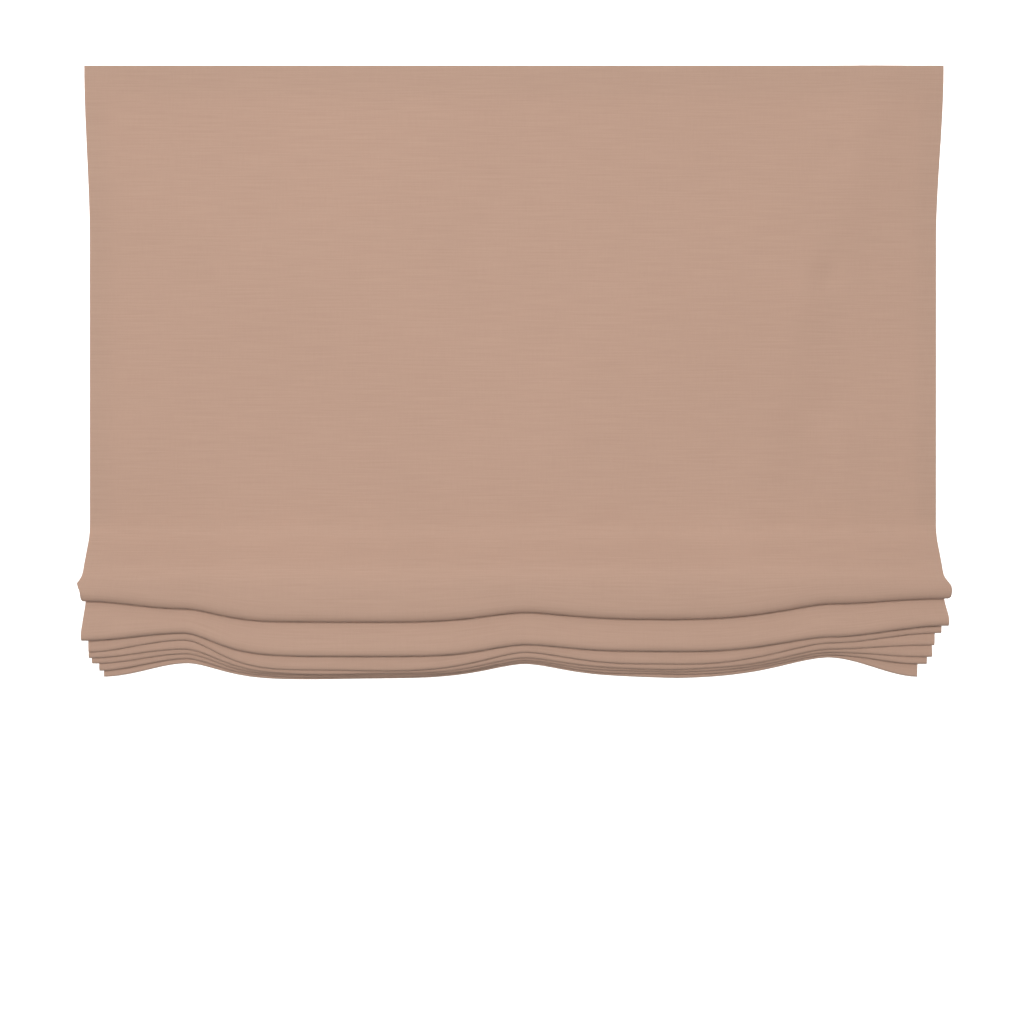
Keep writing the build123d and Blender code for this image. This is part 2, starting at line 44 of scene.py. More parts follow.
import bmesh
import bpy
from bpy.props import FloatProperty, FloatVectorProperty, IntProperty, PointerProperty, StringProperty
from mathutils import Matrix, Vector, noise

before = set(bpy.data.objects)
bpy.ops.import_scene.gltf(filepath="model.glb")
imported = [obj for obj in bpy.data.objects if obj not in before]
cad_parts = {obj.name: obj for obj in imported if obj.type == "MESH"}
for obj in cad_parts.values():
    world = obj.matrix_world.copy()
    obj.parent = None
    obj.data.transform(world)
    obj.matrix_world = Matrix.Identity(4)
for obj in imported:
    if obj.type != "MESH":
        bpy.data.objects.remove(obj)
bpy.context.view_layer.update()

MM = 0.001
PLACES = ("left", "centre", "right")
ROW_COUNT = 10
HANGING_ROWS = 4  # rows of rings on the flat part, the rest are drawn up in the stack


def mm(*values):
    """Millimetres as a tuple of metres."""
    return tuple(value * MM for value in values)


def metres(name, description, default):
    """A length."""
    return FloatProperty(name=name, description=description, default=default, unit="LENGTH")


def edge_heights(name, edge, *values):
    """Heights of an edge at seven places along the width, in millimetres."""
    return FloatVectorProperty(
        name=name, description=f"Heights of {edge}", size=7, unit="LENGTH", default=mm(*values))


def edge_reach(name, edge, *values):
    """How far an edge reaches to the left and to the right, in millimetres."""
    return FloatVectorProperty(
        name=name, description=f"Reach of {edge}", size=2, unit="LENGTH", default=mm(*values))


def hex_colour(name, item, value):
    """The colour of an item."""
    return StringProperty(name=name, description=f"Colour of {item}, sRGB hex", default=value)


def middle(node):
    """The middle of a CAD node's box."""
    low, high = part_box(node)
    return (low + high) / 2


SIDE_HEM = 30 * MM  # width of the hems turned to the back along the sides
HEM_EDGE = 0.4 * MM  # the hem's fold lies this far inside the cloth's edge
HEM_COLUMNS = 6
HEM_BEHIND = 1.5  # of the cloth's thickness, from the cloth's middle to the turned hem's
KNOT_RADIUS = 1.6 * MM  # from the knot's middle to the end of the lift cord's box
KNOT_LENGTH = 1.9 * MM
KNOT_BULGE = 1.75 * MM  # radius of the knot where it is thickest
CORD_TAIL = 6 * MM  # from the top of the knot to the cut end

# Places that the frame gives
CORD_X = [middle(f"cord_stop_{place}").x for place in PLACES]
CORD_Y = middle("cord_stop_centre").y
ROW_Z = [middle(f"ring_row_{row}").z for row in range(1, ROW_COUNT + 1)]
PANEL_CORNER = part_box("fabric_panel")[1]
CLOTH_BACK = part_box("loop_tape")[0].y  # the loop tape's front face, which the cloth is sewn to
HALF_WIDTH = PANEL_CORNER.x
CLOTH_TOP = PANEL_CORNER.z
ROW_PITCH = ROW_Z[0] - ROW_Z[1]
AXIS = middle("drive_shaft")
LOOP_TAPE_FOOT = CLOTH_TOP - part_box("loop_tape")[0].z  # depth of the loop tape's lower edge


# ------------------------------------------------------------------ sizes and colours a user may change

class RomanBlindCloth(bpy.types.PropertyGroup):
    """The cloth: how it hangs, and its colour."""

    thickness: metres("Thickness", "Thickness of the cloth", 0.6 * MM)
    # Each fold's lower edge, at the left corner, left cord, left span, centre cord, right span,
    # right cord and right corner. The folds fan out at the corners and close up at the cords.
    fold_a: edge_heights("Fold A", "the front fold's lower edge", -733, -743, -761, -748, -758, -736, -728)
    fold_b: edge_heights("Fold B", "the second fold's lower edge", -787, -777, -809, -793, -802, -782, -766)
    fold_c: edge_heights("Fold C", "the third fold's lower edge", -803, -787, -829, -804, -820, -791, -776)
    fold_d: edge_heights("Fold D", "the fourth fold's lower edge", -812, -800, -834, -812, -828, -800, -794)
    fold_e: edge_heights("Fold E", "the fifth fold's lower edge", -821, -807, -837, -816, -832, -805, -811)
    fold_f: edge_heights("Fold F", "the last fold's lower edge", -831, -814, -840, -819, -836, -809, -822)
    hem: edge_heights("Hem", "the bottom edge", -840, -821, -843, -822, -841, -813, -839)
    # How far each edge reaches to the left and to the right
    reach_top: edge_reach("Top reach", "the cloth's top edge", 599.5, 599)
    reach_waist: edge_reach("Waist reach", "the flat cloth where it draws in", 591.5, 588)
    reach_a: edge_reach("Reach A", "the front fold", 605, 600)
    reach_b: edge_reach("Reach B", "the second fold", 596, 598)
    reach_c: edge_reach("Reach C", "the third fold", 588, 590)
    reach_d: edge_reach("Reach D", "the fourth fold", 589, 582)
    reach_e: edge_reach("Reach E", "the fifth fold", 586, 580)
    reach_f: edge_reach("Reach F", "the last fold", 577, 574)
    reach_hem: edge_reach("Hem reach", "the bottom edge", 572, 562)
    arch_widths: FloatVectorProperty(
        name="Arch widths", description="How far the cloth's rise at each cord spreads", size=3,
        unit="LENGTH", default=mm(62, 78, 95))
    billow: metres("Billow", "How far the folds swell forwards between the cords", 1.6 * MM)
    row_sag: metres("Row sag", "How far the last drawn-up row hangs down between the cords", 12.0 * MM)
    colour: hex_colour("Cloth", "the cloth", "C2A18E")
    slub_colour: hex_colour("Slub", "the thicker threads", "B1907D")


class RomanBlindFittings(bpy.types.PropertyGroup):
    """The cords and the hardware."""

    cord_radius: metres("Cord radius", "Radius of the lift cords", 0.7 * MM)
    wound_turns: IntProperty(name="Wound turns", description="Turns of cord on each drum", default=15)
    weight_radius: metres("Weight radius", "Radius of the weighted cord in the hem", 2.5 * MM)
    cord_colour: hex_colour("Cord", "the cords", "E9E6DE")
    white_colour: hex_colour("White", "the white parts", "E8E8E4")
    grey_colour: hex_colour("Grey", "the grey parts", "8C9094")


class RomanBlindStage(bpy.types.PropertyGroup):
    """The floor, the lights and the camera."""

    floor_drop: metres("Floor", "Depth of the floor under the blind's origin", 1.42)
    cove_radius: metres("Cove", "Radius of the floor before it sweeps up", 5.2)
    camera_place: FloatVectorProperty(
        name="Camera", description="Place of the camera", size=3, subtype="TRANSLATION", unit="LENGTH",
        default=(-0.003, -2.436, -0.610))
    lens: FloatProperty(name="Lens", description="Focal length in millimetres", default=60.5)
    glow: FloatProperty(name="Glow", description="Light that the pale backdrop itself gives", default=0.02)
    air: FloatVectorProperty(
        name="Air", description="Strength of the light from all round, from below and from above", size=2,
        default=(0.24, 0.54))
    key_power: FloatProperty(name="Key", description="Power of the main soft light",
                             default=92.0, unit="POWER")
    fill_power: FloatProperty(name="Fill", description="Power of the weak light on the other side",
                              default=8.0, unit="POWER")
    wash_power: FloatProperty(name="Wash", description="Power of the light on the backdrop behind the blind",
                              default=620.0, unit="POWER")
    back_power: FloatProperty(name="Back", description="Power of the soft light behind the blind",
                              default=60.0, unit="POWER")
    floor_colour: hex_colour("Floor", "the floor", "F4F4F3")


# ------------------------------------------------------------------ materials

def linear(colour):
    """An sRGB hex colour as linear RGBA."""
    channels = [int(colour[i:i + 2], 16) / 255 for i in (0, 2, 4)]
    curved = [c / 12.92 if c <= 0.04045 else ((c + 0.055) / 1.055) ** 2.4 for c in channels]
    return (*curved, 1.0)


def add(material, kind, inputs=None, **settings):
    """Adds a node to a material or a world.

    inputs gives a value, or another node's output, for each socket by name or number.
    """
    tree = material.node_tree
    node = tree.nodes.new(kind)
    for name, value in settings.items():
        setattr(node, name, value)
    for name, value in (inputs or {}).items():
        if isinstance(value, bpy.types.NodeSocket):
            tree.links.new(value, node.inputs[name])
        else:
            node.inputs[name].default_value = value
    return node


def new_material(name):
    """A material with nothing in it yet, and the coordinates that patterns on it read."""
    material = bpy.data.materials.new(name)
    material.use_nodes = True
    material.node_tree.nodes.clear()
    return material, add(material, "ShaderNodeTexCoord")


def show(material, surface):
    """Ends a material with its output."""
    add(material, "ShaderNodeOutputMaterial", {"Surface": surface})
    return material


def grained(name, colours, grain, bump, roughness, **shader):
    """A material of two close colours, mixed by a noise of a real grain size on each axis, with a bump.

    grain is the grain's size along X, Y and Z, and bump its depth, all in metres. roughness is a
    (low, high) pair that the same noise sweeps through.
    """
    material, place = new_material(name)
    scaled = add(material, "ShaderNodeMapping", {
        "Vector": place.outputs["Object"], "Scale": [1 / size for size in grain]})
    mottle = add(material, "ShaderNodeTexNoise", {
        "Vector": scaled.outputs["Vector"], "Scale": 1.0, "Detail": 3.0, "Roughness": 0.6})
    colour = mix_colour(material, mottle.outputs["Fac"], *colours)
    rough = add(material, "ShaderNodeMapRange", {
        "Value": mottle.outputs["Fac"], "To Min": roughness[0], "To Max": roughness[1]})
    relief = add(material, "ShaderNodeBump", {
        "Height": mottle.outputs["Fac"], "Distance": bump, "Strength": 0.6})
    surface = add(material, "ShaderNodeBsdfPrincipled", {
        "Base Color": colour, "Roughness": rough.outputs["Result"],
        "Normal": relief.outputs["Normal"], **shader})
    return show(material, surface.outputs["BSDF"])


def mix_colour(material, factor, first, second):
    """The mix of two sRGB hex colours by a factor."""
    node = add(material, "ShaderNodeMix", {0: factor, 6: linear(first), 7: linear(second)}, data_type="RGBA")
    return node.outputs[2]


def woven_cloth(cloth):
    """Plain-woven linen-look polyester.

    Light spreads through it, its thicker cross threads show as short darker dashes, and it has a
    faint sheen where it turns away. Its own UV map is in metres along the width and the length.
    """
    material, place = new_material("plain_woven_linen_look_cloth")
    uv = place.outputs["UV"]
    # Threads lie 0.6 mm apart, too fine to show, so the slubs are drawn 2 mm high and 80 mm long.
    weft = add(material, "ShaderNodeMapping", {"Vector": uv, "Scale": (1 / 0.08, 1 / 0.002, 1)})
    slubs = add(material, "ShaderNodeTexNoise", {
        "Vector": weft.outputs["Vector"], "Scale": 1.0, "Detail": 3.0, "Roughness": 0.65})
    warp = add(material, "ShaderNodeMapping", {"Vector": uv, "Scale": (1 / 0.0022, 1 / 0.03, 1)})
    ends = add(material, "ShaderNodeTexNoise", {
        "Vector": warp.outputs["Vector"], "Scale": 1.0, "Detail": 2.0, "Roughness": 0.6})
    threads = add(material, "ShaderNodeMix", {
        0: 0.22, 2: slubs.outputs["Fac"], 3: ends.outputs["Fac"]}, data_type="FLOAT")
    darker = add(material, "ShaderNodeMapRange", {
        "Value": threads.outputs[0], "From Min": 0.36, "From Max": 0.66, "To Min": 0.0, "To Max": 0.34})
    base = mix_colour(material, darker.outputs["Result"], cloth.colour, cloth.slub_colour)
    dyed = add(material, "ShaderNodeTexNoise", {"Vector": uv, "Scale": 3.5, "Detail": 2.0})
    tone = add(material, "ShaderNodeMapRange", {
        "Value": dyed.outputs["Fac"], "From Min": 0.3, "From Max": 0.7, "To Min": 0.985, "To Max": 1.015})
    toned = add(material, "ShaderNodeHueSaturation", {"Color": base, "Value": tone.outputs["Result"]})
    relief = add(material, "ShaderNodeBump", {
        "Height": threads.outputs[0], "Distance": 0.12 * MM, "Strength": 0.4})
    front = add(material, "ShaderNodeBsdfPrincipled", {
        "Base Color": toned.outputs["Color"], "Roughness": 0.86, "Sheen Weight": 0.15,
        "Sheen Roughness": 0.5, "Specular IOR Level": 0.25, "Normal": relief.outputs["Normal"]})
    paler = add(material, "ShaderNodeHueSaturation", {"Color": toned.outputs["Color"], "Saturation": 0.7})
    through = add(material, "ShaderNodeBsdfTranslucent", {"Color": paler.outputs["Color"]})
    both = add(material, "ShaderNodeMixShader", {
        0: 0.16, 1: front.outputs["BSDF"], 2: through.outputs["BSDF"]})
    return show(material, both.outputs["Shader"])


def braided(name, colour, painted_hollow_shade, pitch):
    """Braided polyester cord: strands cross in diamonds, worked out round the cord from its UV map. The
    hollows between the strands are painted in the darker colour, as painted shade.
    """
    material, place = new_material(name)
    crossing = []
    for lean in (1, -1):
        turned = add(material, "ShaderNodeMapping", {
            "Vector": place.outputs["UV"], "Rotation": (0, 0, lean * math.radians(45))})
        strands = add(material, "ShaderNodeTexWave", {
            "Vector": turned.outputs["Vector"], "Scale": 1 / pitch / 3, "Distortion": 0.4},
            bands_direction="X")
        crossing.append(strands.outputs["Fac"])
    weave = add(material, "ShaderNodeMath", {0: crossing[0], 1: crossing[1]}, operation="MAXIMUM")
    # painted shade: the weave's low parts, where the bump sinks between the strands, take the darker colour
    base = mix_colour(material, weave.outputs["Value"], painted_hollow_shade, colour)
    relief = add(material, "ShaderNodeBump", {
        "Height": weave.outputs["Value"], "Distance": 0.1 * MM, "Strength": 0.7})
    surface = add(material, "ShaderNodeBsdfPrincipled", {
        "Base Color": base, "Roughness": 0.7, "Sheen Weight": 0.15, "Normal": relief.outputs["Normal"]})
    return show(material, surface.outputs["BSDF"])


# The fittings' finishes: the material's name, its two close colours, the grain along X, Y and Z and the
# relief's depth in millimetres, the span of roughness, and what else the shader takes. A colour that a
# user may change goes by its property's name.
FINISHES = {
    # woven with a nap of loops: matt, with a fine even roughness
    "tape": ("woven_nylon_hook_and_loop", ("D9D7D0", "EFEDE7"), (0.9, 0.9, 0.9), 0.4, (0.8, 0.95),
             {"Sheen Weight": 0.3}),
    # extruded: the coat flows into a faint orange peel
    "powder": ("powder_coated_aluminium", ("DCDCD8", "white_colour"), (2.2, 2.2, 2.2), 0.05,
               (0.34, 0.46), {}),
    # injection moulded: half matt, with the mould's spark-eroded grain
    "white": ("moulded_white_acetal", ("DDDDD9", "white_colour"), (0.8, 0.8, 0.8), 0.04,
              (0.42, 0.56), {}),
    # glass filled and injection moulded: matt, with short pale flow marks
    "grey": ("moulded_grey_nylon", ("7C8084", "grey_colour"), (0.7, 0.7, 2), 0.05, (0.48, 0.62), {}),
    # pressed and bright plated: cool, with a soft spangle and fine rolling lines
    "zinc": ("zinc_plated_steel", ("A9ADB2", "C6CACE"), (1.2, 1.2, 9), 0.02, (0.26, 0.42),
             {"Metallic": 1.0}),
    # cold drawn and plated: long fine drawing lines along its length
    "drawn": ("drawn_steel_bar", ("9DA1A6", "BDC1C5"), (40, 0.5, 0.5), 0.02, (0.28, 0.4),
              {"Metallic": 1.0}),
    # hard drawn: dark and smooth
    "spring": ("oiled_spring_wire", ("55585C", "6C7075"), (0.4, 0.4, 0.4), 0.01, (0.22, 0.34),
               {"Metallic": 1.0}),
    # moulded: light passes through, with a faint frosting from the mould
    "ring": ("clear_polycarbonate", ("E4E8E8", "F4F6F6"), (0.9, 0.9, 0.9), 0.02, (0.12, 0.24),
             {"IOR": 1.58, "Transmission Weight": 0.75}),
}


def fitting_finish(name, fittings):
    """A fitting's material, from the table of finishes."""
    title, colours, grain, bump, roughness, shader = FINISHES[name]
    colours = [getattr(fittings, colour, colour) for colour in colours]
    return grained(title, colours, mm(*grain), bump * MM, roughness, **shader)


def sewing_thread(cloth):
    """Spun polyester thread, twisted, in the cloth's colour."""
    return grained("spun_sewing_thread", (cloth.slub_colour, cloth.colour), (0.3 * MM,) * 3, 0.05 * MM,
                   (0.6, 0.8))


def stage_paper(stage):
    """Matt pale backdrop paper, with the faintest cloudiness."""
    return grained("matt_backdrop_paper", ("F2F2F1", stage.floor_colour), (0.4,) * 3, 0.01 * MM,
                   (0.9, 1.0), **{"Emission Color": linear("FFFFFF"), "Emission Strength": stage.glow})


def finish_of(name, make, *values):
    """The material of that name from an earlier piece, or a new one."""
    found = bpy.context.scene.get("roman_blind_finishes", {})
    if name in found:
        return bpy.data.materials[found[name]]
    material = make(*values)
    bpy.context.scene["roman_blind_finishes"] = {**dict(found), name: material.name}
    return material


# ------------------------------------------------------------------ mesh helpers

def new_piece(name, built, material):
    """An object at the origin from a bmesh, which is freed."""
    mesh = bpy.data.meshes.new(name)
    built.to_mesh(mesh)
    built.free()
    mesh.polygons.foreach_set("use_smooth", [True] * len(mesh.polygons))
    piece = bpy.data.objects.new(name, mesh)
    bpy.context.scene.collection.objects.link(piece)
    mesh.materials.append(material)
    return piece


def thickened(piece, thickness):
    """The piece with its cloth's thickness, half on each side, and crisp cut edges."""
    solid = piece.modifiers.new("Thickness", "SOLIDIFY")
    solid.thickness = thickness
    solid.offset = 0
    shown = piece.evaluated_get(bpy.context.evaluated_depsgraph_get())
    mesh = bpy.data.meshes.new_from_object(shown)
    mesh.name = piece.name
    piece.modifiers.clear()
    piece.data = mesh
    mesh.set_sharp_from_angle(angle=math.radians(60))
    return piece


def smooth_share(share):
    """A share from 0 to 1, eased at both ends."""
    share = min(1.0, max(0.0, share))
    return share * share * (3 - 2 * share)


BEND_STEP = math.radians(15)
LEG_SHARE = 0.49  # of a leg, that one bend may take


def rounded(route, longest):
    """Points along a section's route with its corners rounded.

    route is (y, z, radius, line) corners, where line is a control line's name or None, and radius may
    be the two lengths that the bend takes of the legs before and after it. Returns
    (y, z, distance) points and, for each control line met, (distance, line).
    """
    legs = []
    for (y, z, radius, _), before, after in zip(route[1:-1], route, route[2:]):
        to = Vector((y - before[0], z - before[1]))
        away = Vector((after[0] - y, after[1] - z))
        turn = to.angle(away)
        if isinstance(radius, tuple):
            trim, trim_away = radius
        else:
            trim = trim_away = min(
                radius * math.tan(turn / 2), LEG_SHARE * to.length, LEG_SHARE * away.length)
        corner = Vector((y, z))
        legs.append((corner - to.normalized() * trim, corner, corner + away.normalized() * trim_away, turn))
    points = [Vector(route[0][:2])]
    lines = [(0.0, route[0][3])]
    travelled = [0.0]

    def go_to(place, parts):
        start = points[-1].copy()
        for step in range(1, parts + 1):
            points.append(start.lerp(place, step / parts))
            travelled.append(travelled[-1] + (points[-1] - points[-2]).length)

    for (begin, corner, end, turn), stop in zip(legs, route[1:-1]):
        go_to(begin, max(1, math.ceil((begin - points[-1]).length / longest)))
        steps = max(2, math.ceil(turn / BEND_STEP))
        for step in range(1, steps + 1):
            u = step / steps
            go_to(begin * (1 - u) ** 2 + corner * 2 * u * (1 - u) + end * u * u, 1)
            if stop[3] and step == steps // 2:
                lines.append((travelled[-1], stop[3]))
    last = Vector(route[-1][:2])
    go_to(last, max(1, math.ceil((last - points[-1]).length / longest)))
    lines.append((travelled[-1], route[-1][3]))
    return [(p.x, p.y, s) for p, s in zip(points, travelled)], lines


# ------------------------------------------------------------------ how the cloth hangs

class Drape:
    """Where the cloth lies: its section at the cords, and how each edge strays from it along the width."""

    PINCH = 0.9 * MM  # half the space between the two leaves that meet at a row of rings
    FOLD_PITCH = 5.5 * MM
    LEAF_GAP = 3.5 * MM  # between a fold's leaves near its row of rings
    FOLD_WIDTHS = mm(12.5, 11.5, 5.2, 4.9, 4.9, 4.9)  # between a fold's leaves near its lower edge
    ROLLS = mm(20, 17, 9, 8, 8, 8)  # height over which each front leaf rolls under
    UNDER = 0.8  # share of a fold's width that its front leaf rolls under
    CURL = (0.15, 0.4)  # the back leaf's turn at a fold's lower edge, in shares of the width
    CORNER = 0.85  # of the largest round corner that there is room for
    LEAN_START = 8 * MM
    LEAN_RADIUS = 40 * MM
    LEAF_DROP = 30 * MM
    HEM_TURN = 3.2 * MM
    HEM_RETURN = 24 * MM
    SEAM_RUN = 3.0 * MM
    EDGE_ROUND = 3.5 * MM  # of the front fold's lower corners
    TUCK = 1 * MM  # above the front fold's edge, where the second fold starts to come forwards
    TUCK_RADIUS = 30 * MM
    TUCK_REACH = 6 * MM  # how much less the second fold reaches there than at its own edge
    WAIST = mm(245, 575)  # depths between which the flat cloth is drawn in
    SEAM_GAP = 0.3 * MM  # between the panel's end and the folds' start
    LAST_RISE = 0.4 * MM  # the last row holds the cloth this far above its rings' middle
    ROW_INSET = 7 * MM  # how much less the cloth reaches at a row than at the edge below it
    FLAP_SAG = 0.4  # share of the rows' sag that a side flap has
    ARCH_POWER = 1.7  # how sharply the cloth falls away from a cord
    RIPPLE = 1.6  # millimetres that an edge strays between the cords
    SWELLS = {"A": 1.0, "B": 1.0, "C": 0.6, "D": 0.5, "E": 0.4, "F": 0.3, "hem": 0.0}  # shares of the billow

    def __init__(self, cloth):
        self.cloth = cloth
        self.mid = CLOTH_BACK - cloth.thickness / 2
        spans = [(CORD_X[0] + CORD_X[1]) / 2, (CORD_X[1] + CORD_X[2]) / 2]
        self.stations = [-HALF_WIDTH, CORD_X[0], spans[0], CORD_X[1], spans[1], CORD_X[2], HALF_WIDTH]
        self.edges = {
            "A": (cloth.fold_a, cloth.reach_a), "B": (cloth.fold_b, cloth.reach_b),
            "C": (cloth.fold_c, cloth.reach_c), "D": (cloth.fold_d, cloth.reach_d),
            "E": (cloth.fold_e, cloth.reach_e), "F": (cloth.fold_f, cloth.reach_f),
            "hem": (cloth.hem, cloth.reach_hem),
        }
        self.level = {name: sum(heights) / len(heights) for name, (heights, _) in self.edges.items()}

    def between_cords(self, x):
        """0 at a cord, rising to 1 half way between two cords or at a side edge."""
        place = max(i for i in range(6) if x >= self.stations[i] or i == 0)
        low, high = self.stations[place], self.stations[place + 1]
        share = (x - low) / (high - low)
        if place in (0, 5):  # a side flap, from its corner or to it
            return smooth_share(1 - share if place == 0 else share), place
        at_cord = place in (1, 3)
        away = share if at_cord else 1 - share
        spread = (high - low) / self.cloth.arch_widths[place // 2]
        rise = 1 - math.exp(-(away * spread) ** self.ARCH_POWER)
        return rise / (1 - math.exp(-spread ** self.ARCH_POWER)), place

    def height(self, name, x):
        """Height of a fold's lower edge at a place along the width."""
        heights = self.edges[name][0]
        share, place = self.between_cords(x)
        cord, far = ((place, place + 1) if place in (1, 3, 5) else (place + 1, place))
        height = heights[cord] + (heights[far] - heights[cord]) * share
        ripple = noise.noise(Vector((x * 9, ord(name[0]) * 1.7, 0.3))) * self.RIPPLE * MM
        if name == "A":
            inside = min(self.EDGE_ROUND, HALF_WIDTH - abs(x))
            height += self.EDGE_ROUND - math.sqrt(self.EDGE_ROUND**2 - (self.EDGE_ROUND - inside) ** 2)
        return height + ripple * share

    def shift(self, line, x):
        """How far a control line is moved up, and forwards, at a place along the width."""
        share, place = self.between_cords(x)
        if line.startswith("row"):
            below_seam = int(line[3:]) - HANGING_ROWS - 1
            sag = self.cloth.row_sag * below_seam / (ROW_COUNT - HANGING_ROWS - 1)
            return -sag * share * (self.FLAP_SAG if place in (0, 5) else 1.0), 0.0
        if line == "tuck":
            return self.shift("A", x)
        if line in self.edges:
            swell = 0.5 + 0.5 * noise.noise(Vector((x * 5, ord(line[0]) * 2.3, 1.9)))
            forward = self.cloth.billow * self.SWELLS[line] * share * swell * 2
            return self.height(line, x) - self.level[line], forward
        return 0.0, 0.0

    def reach(self, line, side):
        """How far the cloth reaches to a side (0 left, 1 right) on a control line."""
        if line == "top":
            return self.cloth.reach_top[side]
        if line == "tuck":
            return self.edges["B"][1][side] - self.TUCK_REACH
        if line in self.edges:
            return self.edges[line][1][side]
        if line.startswith("row"):
            edge = "ABCDEF"[int(line[3:]) - HANGING_ROWS - 1]
            return self.edges[edge][1][side] - self.ROW_INSET
        return self.cloth.reach_waist[side]

    def pinch(self, row):
        """The two corners of the section that a row of rings holds."""
        rise = math.sqrt(2) * self.PINCH
        front = self.mid - self.PINCH
        z = ROW_Z[row - 1]
        corner = self.CORNER * self.PINCH
        return [(front, z + rise, corner, None), (front + rise, z, corner, f"row{row}")]

    def back_leaf(self, fold):
        """Y of a fold's back leaf, where fold counts from the rearmost."""
        return self.mid - 2 * self.PINCH - self.FOLD_PITCH * fold

    def fold(self, name, upper_row, lower_row):
        """The section's corners round one fold."""
        order = "FEDCBA".index(name)
        back = self.back_leaf(order)
        width = self.FOLD_WIDTHS[5 - order]
        roll = self.ROLLS[5 - order]
        bottom = self.level[name]
        front_top = back - self.LEAF_GAP
        upper_y, upper_z = self.pinch(upper_row)[1][:2]
        lower_y, lower_z = self.pinch(lower_row)[0][:2]
        tucked = []
        if name == "B":  # it stays behind the front fold's back leaf down to that fold's edge
            tucked = [(front_top, self.level["A"] + self.TUCK, self.TUCK_RADIUS, "tuck")]
        return [
            (front_top, upper_z - (upper_y - front_top), self.LEAF_GAP, None),
            *tucked,
            (back - width, bottom, (roll, self.UNDER * width), name),
            (back, bottom, (self.CURL[0] * width, self.CURL[1] * width), name),
            (back, lower_z - (lower_y - back), self.PINCH, None),
        ]

    def seam(self, forward):
        """A point of the slanting leaf in front of the first drawn-up row."""
        y, z = self.pinch(HANGING_ROWS + 1)[0][:2]
        return (y - forward, z - forward)

    def panel_route(self):
        """The section of the flat cloth and the half-formed front fold."""
        first = HANGING_ROWS + 1
        lean_top = ROW_Z[HANGING_ROWS - 1] - self.LEAN_START
        _, front, *rest = self.fold("A", first, first)
        lean_bottom = self.level["A"] + self.LEAF_DROP + self.ROLLS[0]
        return [
            (self.mid, CLOTH_TOP, 0, "top"),
            (self.mid, CLOTH_TOP - self.WAIST[0], self.LEAN_RADIUS, "waist"),
            (self.mid, CLOTH_TOP - self.WAIST[1], self.LEAN_RADIUS, "waist"),
            (self.mid, lean_top, self.LEAN_RADIUS, None),
            (front[0], lean_bottom, self.LEAN_RADIUS, "waist"),
            front, *rest,
            (*self.seam(self.SEAM_RUN + self.SEAM_GAP), 0, f"row{first}"),
        ]

    def folds_route(self):
        """The section of the full folds and the hem, with the pocket that its weight lies in."""
        row = HANGING_ROWS + 1
        route = [(*self.seam(self.SEAM_RUN), 0, f"row{row}"), *self.pinch(row)]
        for name in "BCDEF":
            route += self.fold(name, row, row + 1) + self.pinch(row + 1)
            row += 1
        hem_z = self.level["hem"]
        turn = self.CORNER * self.HEM_TURN
        back = self.mid + 2 * self.HEM_TURN
        leaf = self.mid + 2 * self.cloth.thickness
        route[-1] = (self.mid, ROW_Z[-1] + self.LAST_RISE, self.CORNER * self.PINCH, f"row{row}")
        return route + [
            (self.mid, hem_z, turn, "hem"), (back, hem_z, turn, "hem"),
            (back, hem_z + 2 * self.HEM_TURN, self.HEM_TURN, "hem"),
            (leaf, hem_z + 4 * self.HEM_TURN, self.HEM_TURN, "hem"),
            (leaf, hem_z + self.HEM_RETURN, 0, "hem"),
        ]

    def place(self, section, lines, x):
        """The cloth's points at one place along the width: a list of (x, y, z)."""
        side = 0 if x < 0 else 1
        shifts = [(s, *self.shift(line, x), self.reach(line, side)) for s, line in lines]
        cord = abs(CORD_X[0 if side == 0 else 2])
        outside = max(0.0, abs(x) - cord) / (HALF_WIDTH - cord)
        placed, leg = [], 0
        for y, z, s in section:
            while leg < len(shifts) - 2 and s > shifts[leg + 1][0]:
                leg += 1
            (low, up, out, reach), (high, up_2, out_2, reach_2) = shifts[leg], shifts[leg + 1]
            share = smooth_share((s - low) / max(high - low, 1e-9))
            drawn_in = HALF_WIDTH - (reach + (reach_2 - reach) * share)
            x_placed = x - math.copysign(drawn_in * outside, x)
            placed.append((x_placed, y - out - (out_2 - out) * share, z + up + (up_2 - up) * share))
        return placed


# Soft creases in the flat cloth: ends (x, z), width and height, where a height under 0 is a hollow
CREASES = [
    (mm(500, -35), mm(405, -314), 42 * MM, 4.0 * MM),
    (mm(405, -314), mm(312, -640), 36 * MM, 3.4 * MM),
    (mm(452, -505), mm(466, -640), 22 * MM, 2.2 * MM),
    (mm(-470, -95), mm(-452, -225), 18 * MM, 1.0 * MM),
    (mm(-330, -430), mm(-425, -690), 38 * MM, 1.4 * MM),
    (mm(120, -560), mm(40, -700), 30 * MM, 1.3 * MM),
    (mm(-110, -560), mm(-20, -700), 30 * MM, 1.0 * MM),
    (mm(-8, -530), mm(4, -530), 9 * MM, 1.4 * MM),
    (mm(-45, -727), mm(35, -727), 8 * MM, -1.3 * MM),
    (mm(440, -716), mm(500, -722), 7 * MM, -1.0 * MM),
    (mm(-500, -722), mm(-430, -718), 8 * MM, -0.9 * MM),
]

CREASE_END = 45 * MM  # no crease runs over the panel's last stretch, of this length
CREASE_FADE = 60 * MM  # length over which the creases die away above it
SLOW_SWELL = 1.2  # millimetres that the flat cloth swells forwards, over a large scale
SWELL_START = 0.2  # depth below the top edge at which that swell is full
RING_HOLD = 22 * MM  # each ring holds the cloth back over about this distance


